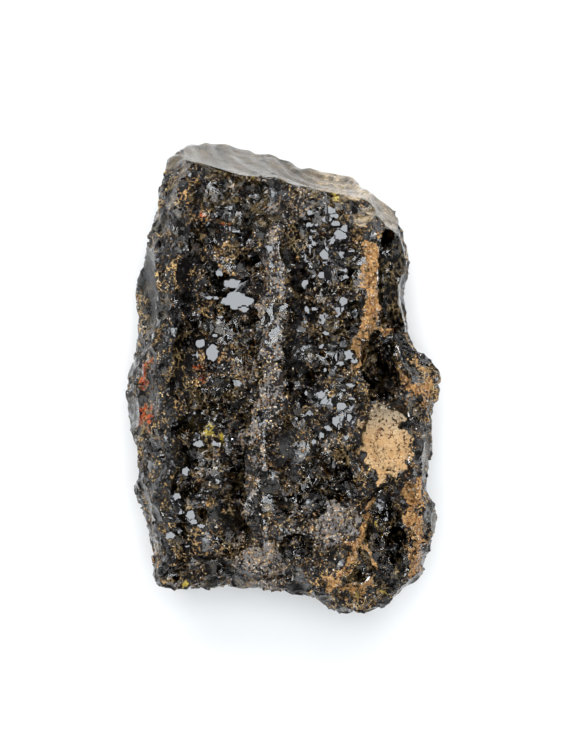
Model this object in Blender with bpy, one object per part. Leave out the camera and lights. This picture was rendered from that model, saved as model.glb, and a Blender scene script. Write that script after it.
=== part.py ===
"""Rough blue amber.

One lump of dark fossil resin as it was dug, lying on its back with its bark side up. The bark pressed long
ridges and troughs into the upper face. Both ends and the flanks broke off in shell-like scallops, and deep
pockets run down the right-hand side. It is a single piece, so it is a single solid.

Units in this file are millimetres until the mesh is written, in metres. +Y runs along the lump, +Z is up, and
the origin is on the table under the middle of the lump.
"""

import math

import bmesh
import bpy
import numpy as np
from mathutils import Matrix, Vector, noise

MM = 0.001

# Driving dimensions: the finished lump is fitted to these three
WIDTH = 53.0
LENGTH = 80.6
HEIGHT = 34.0

# Before the bark relief is added and the foot is worn flat, the lump reaches from here to here
CREST_LEVEL = 32.0
LOWEST_LEVEL = -0.9

# How blunt the lump is between its rim and its faces: 2 is an ellipse, and more is squarer
UPPER_BLUNTNESS = 3.5
LOWER_BLUNTNESS = 3.0

# The rim is the widest line round the lump. It lies high at the near end, which overhangs, and low at the far
# end, where the long scallop runs down to it: places along the lump, and the rim's height above the table there
RIM_PLACES = (-40.0, -22.0, 24.0, 41.0)
RIM_HEIGHTS = (22.0, 15.0, 14.0, 6.0)

# The rim seen from above, anticlockwise from the far left corner
OUTLINE = [
    (-17.4, 40.4), (-18.5, 38.6), (-20.8, 33.5), (-21.5, 27.1), (-23.2, 22.4), (-23.2, 20.6), (-24.4, 18.3),
    (-24.9, 15.1), (-24.6, 9.0), (-24.9, 5.6), (-26.3, 1.1), (-26.5, -3.9), (-26.0, -9.2), (-24.9, -11.3),
    (-23.9, -15.6), (-25.4, -18.4), (-23.5, -24.0), (-22.2, -29.0), (-21.9, -33.4), (-21.1, -34.9),
    (-19.6, -35.9), (-16.9, -36.2), (-14.5, -36.2), (-12.8, -35.6), (-10.1, -35.1), (-6.3, -34.9),
    (-2.1, -35.6), (6.1, -37.0), (8.2, -38.4), (10.1, -39.3), (12.8, -39.3), (17.8, -37.9), (20.6, -36.1),
    (23.8, -33.4), (24.0, -31.1), (25.0, -25.0), (25.4, -22.4), (24.3, -19.2), (25.2, -11.5), (25.2, -8.7),
    (26.0, -5.9), (26.5, -1.3), (25.8, 2.2), (24.4, 3.7), (22.0, 5.9), (20.8, 10.8), (20.3, 13.2),
    (21.5, 17.8), (21.2, 20.6), (20.6, 23.7), (20.0, 27.6), (19.1, 28.9), (14.1, 32.4), (13.1, 34.1),
    (11.2, 35.2), (8.4, 36.1), (1.4, 37.5), (-0.9, 38.8), (-7.3, 40.7), (-11.1, 41.3), (-14.6, 40.8),
]  # fmt: skip

# The core is the line inside the lump that its rings shrink towards
CORE_HALF_LENGTH = 17.0

# Long forms of the bark side: a route down the face, half its width, and its height (troughs are negative)
BANDS = {
    "left ridge": ([(-16.2, 31), (-18.8, 14), (-18.9, 0), (-18.2, -15), (-17.6, -31)], 3.4, 2.1),
    "left trough": ([(-10.4, 27), (-9.6, 12), (-11.0, -4), (-12.1, -17), (-13.0, -29)], 4.6, -2.9),
    "centre ridge": ([(-0.7, 27), (-1.6, 9), (-2.8, -4), (-3.3, -15), (-3.3, -31)], 3.9, 2.1),
    "dark groove": ([(4.2, 22), (2.6, 14), (3.6, 6), (2.0, -2), (2.8, -9), (1.0, -18)], 1.7, -2.2),
    "pocket brow": ([(13.0, 27), (14.4, 20), (14.8, 8), (12.6, 2)], 2.4, 1.2),
    "slanting crack": ([(3.4, -14), (9.5, -18), (14.8, -23)], 1.1, -1.7),
    "right rib": ([(21.6, -7), (22.0, -17), (21.4, -25), (21.6, -32)], 1.9, 1.6),
}

# Rounder forms of the bark side: middle, half sizes across and along, and height
MOUNDS = {
    "right lobe": ((21.6, -0.5), (4.2, 6.4), 2.0),
    "clay dish": ((17.3, -11.2), (4.6, 6.0), -1.6),
    "lower plate": ((8.8, -24.5), (6.2, 6.4), 1.3),
    "near corner": ((16.8, -33.2), (6.0, 4.2), 1.1),
    "far dip": ((-2.6, 28.6), (3.8, 4.4), -2.0),
    "near left dip": ((-13.2, -27.0), (5.2, 5.6), -1.4),
}

# Shell-like breaks. Each is a ball that bites the lump: the deepest point of the bite, the way its face looks,
# the ball's radius, and how much longer than round the ball is along the lump
SCALLOPS = {
    "far end": ((-7.0, 36.6, 17.0), (0.16, 0.95, 0.27), 60.0, 1.0),
    "far end right": ((6.5, 32.8, 17.0), (0.20, 0.94, 0.27), 40.0, 1.0),
    "far right shoulder": ((17.8, 28.0, 20.0), (0.72, 0.55, 0.42), 20.0, 1.0),
    "left flank": ((-22.6, 11.2, 18.0), (-0.80, 0.10, 0.59), 13.0, 1.3),
    "left flank near": ((-23.6, -24.0, 19.0), (-0.86, -0.10, 0.50), 16.0, 1.3),
    "near left corner": ((-16.6, -35.6, 17.0), (-0.06, -0.93, 0.36), 14.0, 1.0),
    "near arch": ((-4.5, -30.5, 8.0), (0.02, -0.80, -0.60), 14.0, 1.0),
    "near right corner": ((21.6, -35.2, 18.0), (0.62, -0.68, 0.39), 17.0, 1.0),
    "right terrace": ((17.6, 16.2, 24.6), (0.80, 0.02, 0.60), 9.0, 1.9),
    "back left": ((-14.5, 9.0, 3.6), (-0.62, 0.10, -0.78), 40.0, 1.0),
    "back right": ((15.5, -13.0, 3.8), (0.64, -0.14, -0.75), 34.0, 1.0),
    "back far": ((3.0, 30.0, 3.2), (0.12, 0.52, -0.85), 36.0, 1.0),
    "back near": ((-7.0, -28.5, 4.0), (-0.18, -0.56, -0.81), 30.0, 1.0),
    "back far right": ((17.0, 17.0, 6.0), (0.80, 0.25, -0.55), 24.0, 1.0),
}

# Deep pockets where a layer fell out: middle, half sizes across, along and down, and turn about the vertical
POCKETS = {
    "upper pocket": ((16.7, 1.8, 30.5), (3.2, 6.2, 7.0), 4.0),
    "pocket shaft": ((17.4, 0.0, 27.0), (1.7, 5.4, 9.5), 5.0),
    "lower pocket": ((17.6, -21.0, 32.5), (4.0, 4.6, 6.4), -14.0),
    "lower trench": ((19.0, -28.0, 32.0), (1.5, 4.8, 6.0), 8.0),
    "left hollow": ((-8.4, 3.6, 33.2), (2.8, 2.4, 4.4), 20.0),
    "left hollow below": ((-9.4, -7.6, 33.0), (3.2, 2.2, 4.2), -25.0),
    "left hollow near": ((-12.0, -19.0, 32.2), (3.4, 2.3, 4.0), -35.0),
}

# The bands wander off their routes by this much, over this distance, and run out over this share of their length
WANDER = 1.4
WANDER_SIZE = 6.3
RUN_OUT = 0.12

# Broken surface: each layer of chips is a set of cells, with the cells' width, their depth and where the pattern
# starts. Each cell is tilted its own way, and the bark side's grain makes the cells longer than wide
CHIP_LAYERS = [(5.2, 0.32, 11.0), (2.6, 0.30, 57.0)]
CHIP_STEP = 0.35
CHIP_TILT = 1.6
CELL_SCATTER = 3.7
TILT_SHIFTS = [(31, 0, 0), (0, 53, 0), (0, 0, 71)]
GRAIN = (1.0, 0.7, 1.0)
SWELL_SIZE = 13.0
SWELL_HEIGHT = 0.7

# The rim keeps this share of the broken surface's height, and the full height starts this far from it. The
# flanks there lie this much inside the blunt body
RIM_SHARE = 0.3
RIM_REACH = 8.0
SIDE_LOSS = 0.6

# How uneven the bites are, and how many lumps there are across one
SCALLOP_UNEVENNESS = (0.02, 4.0)
POCKET_UNEVENNESS = (0.6, 1.7)

BODY_SEGMENTS = 220
BODY_RINGS = 44
VOXEL = 0.6
TRIANGLES = 8800

AMBER_BLACK = (0.030, 0.024, 0.020, 1.0)
AMBER_ROUGHNESS = 0.35
AMBER_IOR = 1.54


def clear_scene():
    for thing in list(bpy.data.objects):
        bpy.data.objects.remove(thing)


def smoothstep(value):
    value = np.clip(value, 0.0, 1.0)
    return value * value * (3.0 - 2.0 * value)


def rounded_loop(points, count):
    """count points, evenly spaced, on the closed Catmull-Rom curve through the given ones."""
    points = np.array(points)
    before, after, beyond = (np.roll(points, shift, axis=0) for shift in (1, -1, -2))
    steps = np.linspace(0.0, 1.0, 12, endpoint=False)[:, None, None]
    curve = 0.5 * (
        2 * points
        + (after - before) * steps
        + (2 * before - 5 * points + 4 * after - beyond) * steps**2
        + (3 * points - before - 3 * after + beyond) * steps**3
    )
    curve = curve.transpose(1, 0, 2).reshape(-1, 2)
    curve = np.vstack([curve, curve[:1]])
    travelled = np.r_[0.0, np.cumsum(np.linalg.norm(np.diff(curve, axis=0), axis=1))]
    wanted = np.linspace(0.0, travelled[-1], count, endpoint=False)
    return np.column_stack([np.interp(wanted, travelled, curve[:, axis]) for axis in (0, 1)])


def body_mesh():
    """The lump before anything broke off it: rings shrink from the rim to the core, above and below."""
    rim = rounded_loop(OUTLINE, BODY_SEGMENTS)
    core = rim * (0.0, CORE_HALF_LENGTH / (LENGTH / 2))
    work = bmesh.new()
    rings = []
    for step in range(1, 2 * BODY_RINGS):
        turn = math.pi * step / (2 * BODY_RINGS)
        upper = turn < math.pi / 2
        bluntness = UPPER_BLUNTNESS if upper else LOWER_BLUNTNESS
        reach = math.sin(turn) ** (2 / bluntness)
        rise = abs(math.cos(turn)) ** (2 / bluntness)
        place = core + (rim - core) * reach
        level = np.interp(place[:, 1], RIM_PLACES, RIM_HEIGHTS)
        level = level + ((CREST_LEVEL if upper else LOWEST_LEVEL) - level) * rise
        rings.append([work.verts.new((x, y, z)) for (x, y), z in zip(place, level)])
    for ring, following in zip(rings, rings[1:]):
        bmesh.ops.bridge_loops(work, edges=loop_edges(work, ring) + loop_edges(work, following))
    for ring in (rings[0], rings[-1]):
        work.faces.new(ring)
    bmesh.ops.recalc_face_normals(work, faces=work.faces)
    mesh = bpy.data.meshes.new("body")
    work.to_mesh(mesh)
    work.free()
    return mesh


def loop_edges(work, ring):
    """The edges round a ring of vertices, made where they are missing."""
    edges = []
    for here, there in zip(ring, ring[1:] + ring[:1]):
        edges.append(work.edges.get((here, there)) or work.edges.new((here, there)))
    return edges


def remeshed(mesh):
    """The mesh rebuilt on an even grid."""
    return with_modifier(mesh, "REMESH", mode="VOXEL", voxel_size=VOXEL)


def with_modifier(mesh, kind, **settings):
    """The mesh as one modifier leaves it."""
    thing = bpy.data.objects.new("work", mesh)
    bpy.context.scene.collection.objects.link(thing)
    modifier = thing.modifiers.new(kind.title(), kind)
    for name, value in settings.items():
        setattr(modifier, name, value)
    graph = bpy.context.evaluated_depsgraph_get()
    made = bpy.data.meshes.new_from_object(thing.evaluated_get(graph))
    bpy.data.objects.remove(thing)
    return made


def distance_to_route(points, route):
    """How far each point is from a route of straight runs, and a share that falls off towards its ends."""
    nearest = np.full(len(points), 1e9)
    along = np.zeros(len(points))
    route = np.array(route, float)
    lengths = np.linalg.norm(np.diff(route, axis=0), axis=1)
    for number, (start, end, length) in enumerate(zip(route, route[1:], lengths)):
        share = np.clip((points - start) @ (end - start) / length**2, 0.0, 1.0)
        gap = np.linalg.norm(points - (start + share[:, None] * (end - start)), axis=1)
        closer = gap < nearest
        nearest = np.where(closer, gap, nearest)
        along = np.where(closer, lengths[:number].sum() + share * length, along)
    fade = np.minimum(along, lengths.sum() - along) / (RUN_OUT * lengths.sum())
    return nearest, smoothstep(fade + 0.3)


def bark_relief(points):
    """Height added to the bark side at each point, from its bands and mounds."""
    flat = points[:, :2]
    wander = np.array([noise.noise(Vector(p) / WANDER_SIZE) for p in points]) * WANDER
    height = np.zeros(len(points))
    for route, half_width, rise in BANDS.values():
        gap, fade = distance_to_route(flat + wander[:, None], route)
        height += rise * fade * smoothstep(1.0 - gap / (1.7 * half_width))
    for middle, half_sizes, rise in MOUNDS.values():
        gap = np.linalg.norm((flat - middle) / half_sizes, axis=1)
        height += rise * smoothstep(1.25 - gap)
    return height


def chips(points, size, depth, start):
    """Height of a broken surface at each point: every cell is a flat chip with its own tilt and step."""
    heights = []
    for point in points * GRAIN / size + start:
        here = Vector(point)
        gaps, centres = noise.voronoi(here)
        cell = centres[0] * CELL_SCATTER
        tilt = Vector([noise.noise(cell + Vector(shift)) for shift in TILT_SHIFTS]) * CHIP_TILT
        heights.append(tilt.dot(here - centres[0]) + noise.noise(cell) * CHIP_STEP)
    return np.array(heights) * depth * size


def relieved_mesh(mesh):
    """The body with its bark relief and its broken surface pressed in."""
    count = len(mesh.vertices)
    points = np.empty(count * 3)
    normals = np.empty(count * 3)
    mesh.vertices.foreach_get("co", points)
    mesh.vertex_normals.foreach_get("vector", normals)
    points, normals = points.reshape(-1, 3), normals.reshape(-1, 3)
    facing_up = smoothstep((normals[:, 2] - 0.25) / 0.5)
    moved = points.copy()
    moved[:, 2] += bark_relief(points) * facing_up
    swell = np.array([noise.noise(Vector(p) / SWELL_SIZE) for p in points]) * SWELL_HEIGHT
    for layer in CHIP_LAYERS:
        swell += chips(points, *layer)
    off_rim = np.abs(points[:, 2] - np.interp(points[:, 1], RIM_PLACES, RIM_HEIGHTS)) / RIM_REACH
    share = RIM_SHARE + (1.0 - RIM_SHARE) * smoothstep(off_rim)
    lost = SIDE_LOSS * (1.0 - facing_up)
    moved += normals * ((swell - lost) * share)[:, None]
    mesh.vertices.foreach_set("co", moved.ravel())
    mesh.update()
    return mesh


def cutter(name, place, unevenness, lumps):
    """An uneven ball that bites the lump, put in place by a matrix."""
    mesh = bpy.data.meshes.new(name)
    work = bmesh.new()
    bmesh.ops.create_icosphere(work, subdivisions=5, radius=1.0)
    for vertex in work.verts:
        vertex.co *= 1.0 + unevenness * noise.noise(vertex.co * lumps + place.translation)
    bmesh.ops.transform(work, matrix=place, verts=work.verts)
    work.to_mesh(mesh)
    work.free()
    thing = bpy.data.objects.new(name, mesh)
    thing.hide_render = True
    thing.display_type = "WIRE"
    bpy.context.scene.collection.objects.link(thing)
    return thing


def scallop_place(deepest, facing, radius, stretch):
    facing = Vector(facing).normalized()
    centre = Vector(deepest) + facing * radius
    return Matrix.Translation(centre) @ Matrix.Diagonal((radius, radius * stretch, radius, 1.0))


def pocket_place(middle, half_sizes, turn):
    spin = Matrix.Rotation(math.radians(turn), 4, "Z")
    return Matrix.Translation(middle) @ spin @ Matrix.Diagonal((*half_sizes, 1.0))


def cutters():
    made = [cutter(name, scallop_place(*sizes), *SCALLOP_UNEVENNESS) for name, sizes in SCALLOPS.items()]
    made += [cutter(name, pocket_place(*sizes), *POCKET_UNEVENNESS) for name, sizes in POCKETS.items()]
    return made


def bitten_mesh(mesh):
    """The lump with every scallop and pocket cut out of it."""
    for tool in cutters():
        mesh = with_modifier(mesh, "BOOLEAN", object=tool, operation="DIFFERENCE", solver="EXACT")
        bpy.data.objects.remove(tool)
    return mesh


def settled_mesh(mesh):
    """The lump thinned to few triangles, flat where it rests, with the origin on the table under its middle."""
    mesh.calc_loop_triangles()
    ratio = TRIANGLES / len(mesh.loop_triangles)
    mesh = with_modifier(mesh, "DECIMATE", ratio=ratio, use_collapse_triangulate=True)
    points = np.empty(len(mesh.vertices) * 3)
    mesh.vertices.foreach_get("co", points)
    points = points.reshape(-1, 3)
    points[:, 2] = np.maximum(points[:, 2], 0.0)
    low, high = points.min(axis=0), points.max(axis=0)
    points[:, :2] -= (low + high)[:2] / 2
    points *= np.array([WIDTH, LENGTH, HEIGHT]) / (high - low)
    mesh.vertices.foreach_set("co", (points * MM).ravel())
    mesh.update()
    return mesh


def amber_material():
    material = bpy.data.materials.new("dark amber")
    material.use_nodes = True
    shader = material.node_tree.nodes["Principled BSDF"]
    shader.inputs["Base Color"].default_value = AMBER_BLACK
    shader.inputs["Roughness"].default_value = AMBER_ROUGHNESS
    shader.inputs["Metallic"].default_value = 0.0
    shader.inputs["IOR"].default_value = AMBER_IOR
    return material


def rough_amber():
    mesh = remeshed(body_mesh())
    mesh = remeshed(relieved_mesh(mesh))
    mesh = remeshed(bitten_mesh(mesh))
    mesh = settled_mesh(mesh)
    mesh.materials.append(amber_material())
    lump = bpy.data.objects.new("rough_amber", mesh)
    bpy.context.scene.collection.objects.link(lump)
    return lump


clear_scene()
rough_amber()
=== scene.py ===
"""Rough blue amber: a lump of dark fossil resin with a bark-ridged crust, on its back on a white table.

The shape is worked out in millimetres and written to the meshes in metres. +Y runs along the lump, and +Z
is up.
"""

import itertools
import math

import bmesh
import bpy
import numpy as np
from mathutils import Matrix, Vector, kdtree


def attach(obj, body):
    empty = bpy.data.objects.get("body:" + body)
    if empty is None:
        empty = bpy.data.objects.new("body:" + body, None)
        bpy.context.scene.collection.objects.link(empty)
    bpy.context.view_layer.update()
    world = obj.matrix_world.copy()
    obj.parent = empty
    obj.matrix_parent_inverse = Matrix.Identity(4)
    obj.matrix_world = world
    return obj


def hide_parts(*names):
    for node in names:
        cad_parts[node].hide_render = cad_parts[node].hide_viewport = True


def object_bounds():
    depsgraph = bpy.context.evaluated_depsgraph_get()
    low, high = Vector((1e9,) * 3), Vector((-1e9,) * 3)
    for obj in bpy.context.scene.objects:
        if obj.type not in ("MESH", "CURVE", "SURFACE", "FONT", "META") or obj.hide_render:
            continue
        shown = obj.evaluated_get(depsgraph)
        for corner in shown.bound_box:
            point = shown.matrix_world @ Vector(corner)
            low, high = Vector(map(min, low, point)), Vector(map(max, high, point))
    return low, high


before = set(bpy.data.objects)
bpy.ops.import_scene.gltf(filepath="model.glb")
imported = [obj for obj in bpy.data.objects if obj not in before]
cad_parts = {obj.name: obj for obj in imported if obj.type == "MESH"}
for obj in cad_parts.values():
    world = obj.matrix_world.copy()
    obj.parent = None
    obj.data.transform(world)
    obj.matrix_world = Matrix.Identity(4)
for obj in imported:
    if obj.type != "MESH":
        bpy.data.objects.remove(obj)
solid_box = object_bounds()

# The lump itself. Resin ran down inside the bark of a tree and set there, so its upper face is a cast of
# the bark: long dusty ridges with troughs of broken resin between them. Both ends and the flanks broke off
# later, in shell-like scallops, and a layer fell out of the right-hand side and left deep pockets.

MM = 0.001
BODY_VOXEL = 0.24
BARK_SIDE_STARTS = 17.0

# How many triangles the lump keeps, how much the bark side is spared, and how heavily that counts
BODY_TRIANGLES = 196_000
BARK_SPARED = 0.85
SPARING_FACTOR = 3.0

LEFT_RIDGE = [(-16.6, 30.5), (-18.6, 18.0), (-20.0, 6.7), (-19.4, -5.0), (-19.0, -18.0), (-18.2, -33.0)]
LEFT_TROUGH = [(-11.0, 29.0), (-10.6, 17.0), (-10.8, 4.0), (-11.8, -8.0), (-13.6, -26.0), (-14.5, -33.0)]
CENTRE_RIDGE = [(-1.2, 29.0), (-2.3, 14.0), (-3.0, 3.0), (-3.4, -10.0), (-3.0, -21.0), (-4.4, -33.0)]
DARK_GROOVE = [(3.2, 23.0), (2.7, 14.0), (1.8, 3.4), (1.3, -9.7), (1.6, -17.9)]
RIDGE_FOOT = [(-16.0, 9.0), (-16.6, -4.0), (-16.9, -15.0)]
RIGHT_CHIPS = [(7.6, 29.0), (7.6, 15.0), (8.2, 0.0), (8.6, -14.0)]
TAN_STRIP = [(14.8, 23.0), (14.7, 14.0), (14.2, 7.0), (13.0, 0.5)]
SAND_STRIP = [(14.7, 20.5), (14.5, 14.0), (14.3, 9.0), (13.2, 5.5), (12.4, 2.0)]
TAN_ARCH = [(13.6, 6.5), (16.0, 6.6), (18.6, 7.4)]
RIGHT_RIB = [(22.8, -8.0), (22.6, -18.0), (22.4, -28.0), (22.0, -33.0)]
RIB_SAND = [(21.8, -19.0), (21.4, -26.0), (21.8, -33.0)]
SLANTING_CRACK = [(3.8, -15.4), (9.5, -18.7), (14.8, -24.4)]
OCHRE_VEIN = [(15.3, -21.5), (12.6, -26.0), (11.4, -31.0), (7.4, -36.2)]
OCHRE_HOOK = [(10.0, -27.6), (13.4, -28.6), (16.0, -31.8), (13.2, -35.0)]

# A ridge's or a trough's route, half its width and how far it stands proud
LONG_FORMS = [
    (LEFT_RIDGE, 2.6, 0.7),
    (LEFT_TROUGH, 4.2, -0.9),
    (CENTRE_RIDGE, 2.9, 0.8),
    (DARK_GROOVE, 1.2, -1.1),
    (TAN_STRIP, 1.5, 0.5),
    (RIGHT_RIB, 1.4, 0.4),
    (SLANTING_CRACK, 0.8, -1.0),
    (OCHRE_VEIN, 0.8, 0.35),
    (OCHRE_HOOK, 0.7, 0.35),
]

# The lump's own broken faces: the deepest point of the bite, the way its face looks, the radius of the ball
# that fits it, and how much longer than round it is along the lump
BROKEN_FACES = {
    "far end": ((-7.0, 35.3, 17.0), (0.16, 0.95, 0.27), 60.0, 1.0),
    "far end right": ((6.5, 31.5, 17.0), (0.20, 0.94, 0.27), 40.0, 1.0),
    "far right shoulder": ((17.6, 26.8, 19.8), (0.72, 0.55, 0.42), 20.0, 1.0),
    "left flank": ((-22.3, 12.4, 17.8), (-0.80, 0.10, 0.59), 13.0, 1.0),
    "left flank near": ((-23.4, -25.0, 18.8), (-0.86, -0.10, 0.50), 16.0, 1.3),
    "near left corner": ((-16.6, -36.0, 17.0), (-0.06, -0.93, 0.36), 14.0, 1.0),
    "near arch": ((-4.5, -31.0, 8.2), (0.02, -0.80, -0.60), 14.0, 1.0),
    "near right corner": ((21.4, -35.9, 18.0), (0.62, -0.68, 0.39), 17.0, 1.0),
    "right terrace": ((17.4, 15.2, 24.2), (0.80, 0.02, 0.60), 9.0, 1.9),
}

# Pockets: middle, half sizes across, along and down, and turn about the vertical
POCKETS = {
    "upper pocket": ((15.6, 1.0, 31.0), (2.7, 6.3, 8.5), 4.0),
    "pocket shaft": ((16.8, -0.8, 27.0), (1.5, 4.8, 11.0), 4.0),
    "lower pocket": ((17.2, -22.4, 32.5), (3.6, 4.6, 7.0), -14.0),
    "lower trench": ((18.8, -28.6, 32.0), (1.5, 4.6, 6.6), 8.0),
    "near corner hollow": ((11.8, -34.0, 31.0), (2.4, 1.5, 3.6), 25.0),
}

# How uneven these are, in millimetres, and how fresh the pockets look next to the broken faces
FACE_UNEVENNESS = 0.12
POCKET_UNEVENNESS = 0.75
POCKET_FRESHNESS = 0.9

# Hollows where resin broke out of the trough and the chipped band: middle, half sizes and turn
HOLLOWS = [
    ((-12.6, 30.5), (1.4, 1.6), 0),
    ((-8.4, 26.4), (3.2, 2.6), -12),
    ((-4.6, 29.2), (2.6, 2.2), 20),
    ((-3.6, 25.6), (1.6, 2.2), 0),
    ((-8.2, 17.9), (2.4, 1.4), 10),
    ((-6.9, 9.4), (2.4, 1.3), -15),
    ((-6.1, 4.3), (1.5, 2.4), 10),
    ((-9.8, -2.3), (2.4, 1.9), 20),
    ((-13.4, -5.6), (2.0, 1.5), -30),
    ((-15.1, -9.3), (1.6, 2.0), 0),
    ((-7.2, -8.0), (1.6, 1.4), 25),
    ((-12.6, -13.8), (2.8, 1.4), -20),
    ((-14.3, -21.2), (2.0, 2.4), 15),
    ((-15.9, -27.7), (2.1, 1.9), -10),
    ((-18.4, -33.5), (2.6, 1.3), 10),
    ((5.9, 22.3), (1.7, 2.0), 0),
    ((7.9, 14.1), (1.4, 1.3), 20),
    ((4.6, -0.7), (1.5, 1.7), -10),
    ((10.3, -4.8), (1.6, 1.5), 30),
    ((4.6, -11.3), (1.3, 2.0), 0),
    ((11.2, 10.0), (1.3, 1.7), -20),
    ((8.7, 4.3), (1.6, 1.3), 15),
]
HOLLOW_DEPTH = 1.6
HOLLOW_UNEVENNESS = 0.3
HOLLOW_FRESHNESS = 0.8

# The ball that bites a hollow: how high its middle is, in depths, and how wide it is, in hollow widths
HOLLOW_BALL_LIFT = 1.6
HOLLOW_BALL_WIDTH = 1.45

# Mirror-flat chips on the bark side: middle, half sizes across and along, turn, and slope each way
FLAT_CHIPS = [
    ((-7.5, 12.0), (2.7, 1.7), 8, (0.02, -0.01)),
    ((-8.3, 14.7), (1.5, 0.9), 20, (-0.03, 0.02)),
    ((-6.4, 10.4), (0.9, 0.7), -30, (0.05, 0.0)),
    ((-11.6, 3.4), (1.2, 1.7), 12, (0.0, 0.03)),
    ((-10.4, 16.4), (0.8, 0.6), 0, (0.04, 0.05)),
    ((-15.9, -16.2), (0.7, 0.9), 15, (0.02, 0.02)),
    ((-17.1, -20.3), (0.8, 0.7), 0, (0.05, -0.03)),
    ((-15.1, -23.6), (0.9, 1.0), 25, (0.0, 0.04)),
    ((-18.4, -26.9), (1.0, 0.7), -10, (-0.03, 0.0)),
    ((7.4, 25.2), (1.0, 0.7), 30, (0.03, 0.02)),
    ((9.6, 22.6), (1.1, 1.0), -20, (-0.02, 0.03)),
    ((7.0, 19.8), (0.8, 0.9), 45, (0.0, -0.02)),
    ((10.8, 19.4), (0.7, 0.5), 0, (0.04, 0.0)),
    ((9.8, -5.6), (1.0, 0.8), 35, (0.02, -0.03)),
    ((8.9, -8.0), (0.8, 1.0), -15, (0.0, 0.03)),
    ((11.0, -7.4), (0.6, 0.7), 10, (-0.04, 0.0)),
    ((7.2, 6.4), (0.7, 0.5), 20, (0.0, 0.0)),
    ((5.2, -11.4), (0.6, 0.8), 0, (0.03, 0.03)),
]
FLAT_CHIP_DEPTH = 0.30

# The directions that the sides of an angular flake face, how far out they lie and how ragged they are, as
# shares of its half sizes
FLAKE_SIDES = (5, 70, 150, 205, 290)
FLAKE_EDGE = 0.85
FLAKE_RAGGEDNESS = 0.25

# Fields of small ones: left, right, near and far edges, and how many. Below, the least and the most of
# their half sizes, turns and slopes
FLAT_CHIP_FIELDS = [
    (3.5, 11.5, 14.0, 27.0, 38),
    (4.0, 12.0, -13.0, 12.0, 44),
    (-15.0, -7.0, -12.0, 16.0, 18),
    (-18.0, -12.0, -30.0, -14.0, 9),
    (-12.0, -2.0, 18.0, 27.0, 5),
]
SMALL_FLAT_SIZES = (0.22, 1.0)
SMALL_FLAT_TURNS = (-60, 60)
SMALL_FLAT_SLOPES = (-0.14, 0.14)

# Chips broken out of the bark side all over: how many, half their width, their depth and tilt as shares of
# that, how uneven they are, and how squarely a point has to face a chip to be cut by it
SHELL_CHIPS = 1100
SHELL_CHIP_WIDTHS = (0.55, 3.0)
SHELL_CHIP_DEPTHS = (0.12, 0.42)
SHELL_CHIP_TILT = 0.4
SHELL_CHIP_UNEVENNESS = 0.10
SHELL_CHIP_FACING = 0.5
CHIP_SEED = 11

# Slivers that bend more sharply than this, in turns of the normal to a millimetre, are rounded off
SPIKE_STARTS = 1.6

# The blow that broke off the far end, and the ripples that it left
BLOW_AT = (9.0, 36.0, 6.0)
RIPPLE_EVERY = 3.6
RIPPLE_RISE = 0.15
RIPPLE_WANDER = 0.5
FAR_END_STARTS = 24.0
FAR_END_FACING = 0.6

# The step that fell out along the right-hand side, in front of the far right shoulder
TERRACE_LEFT = 16.2
TERRACE_NEAR = 6.5
TERRACE_FAR = 24.5
TERRACE_FOOT = 19.0
TERRACE_HEIGHT = 25.2
TERRACE_SLOPE = 0.28
TERRACE_CHIPPING = 0.4
TERRACE_FRESHNESS = 0.9

# Ledges that run across the troughs
LEDGE_EVERY = 3.3
LEDGE_RISE = 0.55
LEDGE_SLANT = 0.35
LEDGE_WANDER = 2.2

# The smooth cream patch. Between the last two places along the lump it turns from orange-tan to grey-white
CREAM_MIDDLE = (17.2, -11.7)
CREAM_SIZES = (4.9, 6.8)
CREAM_TURN = 12
CREAM_GREYS = (-12.0, -5.0)

# How much of the bark side is broken resin anyway, and how much more along each route, with half its width
BROKEN_ANYWAY = 0.35
BROKEN_ROUTES = [
    (0.9, LEFT_TROUGH, 3.6),
    (0.9, RIGHT_CHIPS, 4.2),
    (0.6, DARK_GROOVE, 1.4),
    (-0.6, LEFT_RIDGE, 2.0),
    (-0.6, CENTRE_RIDGE, 2.0),
    (-0.8, TAN_STRIP, 1.3),
]

# Chipped flats of the crust, coarse to fine: how high and how wide, how far they stray, and a seed
RELIEF_FLATS = [(0.30, 3.1, 1.0, 31), (0.34, 1.7, 0.0, 41), (0.36, 0.95, 0.0, 51)]

# How high and how wide its lumps and its fibres are, and how slowly the fibres change along the bark
CRUST_LUMPS = (0.26, 0.75)
BARK_FIBRES = (0.30, 0.55)
FIBRE_PACE = 0.30

# How rough the bark side's ridges are, how much rougher its breaks, and how rough the flanks are
RIDGE_ROUGHNESS = 0.45
BREAK_ROUGHNESS = 0.75
FLANK_ROUGHNESS = 0.42


def smoothstep(value):
    value = np.clip(value, 0.0, 1.0)
    return value * value * (3.0 - 2.0 * value)


def lattice(cells, seed):
    """A random number from 0 to 1 for each whole-number cell."""
    key = cells[..., 0] * 73856093 ^ cells[..., 1] * 19349663 ^ cells[..., 2] * 83492791 ^ seed * 9737333
    key = (key * 1274126177 + 12345) & 0x7FFFFFFF
    key = ((key >> 13) ^ key) * 1103515245 & 0x7FFFFFFF
    key = ((key >> 11) ^ key) & 0x7FFFFFFF
    return key / 0x7FFFFFFF


def lumps(points, size, seed):
    """Smooth noise from -1 to 1 whose lumps are this wide."""
    spot = points / size
    corner = np.floor(spot).astype(np.int64)
    share = smoothstep(spot - corner)
    total = np.zeros(len(points))
    for step in itertools.product((0, 1), repeat=3):
        weight = np.prod(np.where(step, share, 1.0 - share), axis=1)
        total += weight * lattice(corner + np.array(step), seed)
    return 2.0 * total - 1.0


def wander(points, size, seed):
    """A smooth shift of each point, up to 1 each way, whose waves are this wide."""
    return np.stack([lumps(points, size, seed + axis) for axis in range(3)], axis=1)


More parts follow.
